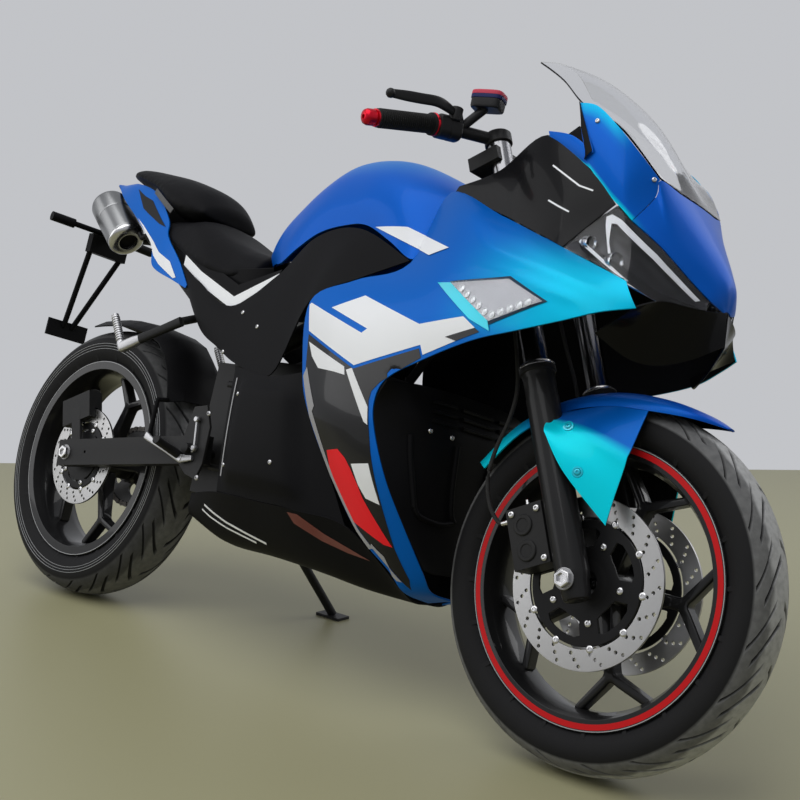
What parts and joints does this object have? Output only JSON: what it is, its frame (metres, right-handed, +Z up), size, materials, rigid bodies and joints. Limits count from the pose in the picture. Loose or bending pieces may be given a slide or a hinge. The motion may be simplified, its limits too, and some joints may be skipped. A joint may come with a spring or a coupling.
{
  "type": "sport motorcycle",
  "caption": "Fully faired sport motorcycle leaning on its side stand, with turning wheels, steering and a folding stand.",
  "frame": {"origin": "middle of the footprint on the floor, with the machine at rest on its side stand", "axes": "+X forward, +Y to the rider's left, +Z up"},
  "size_m": [1.9579, 0.6964, 1.1457],
  "materials": {
    "plastic_blue": "gloss blue lacquer, with white and cyan bands",
    "plastic_black": "black moulded plastic",
    "control_black": "matt black",
    "chain_steel": "oiled steel",
    "alloy": "cast alloy, bare",
    "frame_black": "satin black paint",
    "fork_black": "black with a bright upper tube",
    "caliper_black": "satin black casting",
    "disc_steel": "ground and drilled",
    "rim_black": "gloss black with a red ring",
    "tyre": "treaded rubber",
    "grip_rubber": "moulded grip",
    "lamp_glass": "clear lens",
    "lamp_red": "red lens",
    "screen_glass": "clear acrylic",
    "power_grey": "cast case",
    "seat_vinyl": "black grained vinyl",
    "silencer_steel": "brushed, polished at the end"
  },
  "bodies": {
    "chassis": {"belly_pan": "plastic_black", "chin_panels": "plastic_black", "dash": "plastic_black", "drive_chain": "chain_steel", "duct_panel": "plastic_black", "footrests": "alloy", "headlamps": "lamp_glass", "inner_panels": "plastic_black", "lower_covers": "plastic_black", "main_frame": "frame_black", "nose_cowl": "plastic_blue", "pillion_pegs": "alloy", "plate_bracket": "plastic_black", "power_block": "power_grey", "rear_axle": "alloy", "rear_caliper": "caliper_black", "rear_hugger": "plastic_black", "rear_shock": "frame_black", "seat_base": "plastic_black", "seat_pillion": "seat_vinyl", "seat_rider": "seat_vinyl", "side_fairing_left": "plastic_blue", "side_fairing_right": "plastic_blue", "side_panel_left": "plastic_black", "side_panel_right": "plastic_black", "silencer": "silencer_steel", "swingarm": "frame_black", "tail_cowl": "plastic_blue", "tail_lamp": "lamp_red", "tank": "plastic_blue", "turn_lamps": "lamp_glass", "windscreen": "screen_glass"},
    "steering": {"controls": "control_black", "fork_clamps": "frame_black", "fork_left": "fork_black", "fork_right": "fork_black", "front_axle": "alloy", "front_calipers": "caliper_black", "front_mudguard": "plastic_blue", "handlebar_left": "grip_rubber", "handlebar_right": "grip_rubber", "brake_hoses": "grip_rubber"},
    "front_wheel": {"front_discs": "disc_steel", "front_rim": "rim_black", "front_tyre": "tyre"},
    "rear_wheel": {"rear_disc": "disc_steel", "rear_rim": "rim_black", "rear_tyre": "tyre", "rear_sprocket": "disc_steel"},
    "side_stand": {"side_stand": "frame_black"}
  },
  "joints": [
    {"name": "steering", "type": "hinge", "parent": "chassis", "child": "steering", "pos_m": [0.782, -0.24572, 0.00337], "axis": [-0.4226, 0.2346, 0.8754], "range_deg": [-30, 30]},
    {"name": "front_wheel_spin", "type": "hinge", "parent": "steering", "child": "front_wheel", "pos_m": [0.687, -0.17014, 0.28542], "axis": [0, 0.9659, -0.2588], "continuous": true},
    {"name": "rear_wheel_spin", "type": "hinge", "parent": "chassis", "child": "rear_wheel", "pos_m": [-0.673, -0.16652, 0.29895], "axis": [0, 0.9659, -0.2588], "continuous": true},
    {"name": "side_stand_fold", "type": "hinge", "parent": "chassis", "child": "side_stand", "pos_m": [-0.205, -0.05568, 0.22577], "axis": [0, 0.8425, 0.5388], "range_deg": [0, 92]}
  ]
}
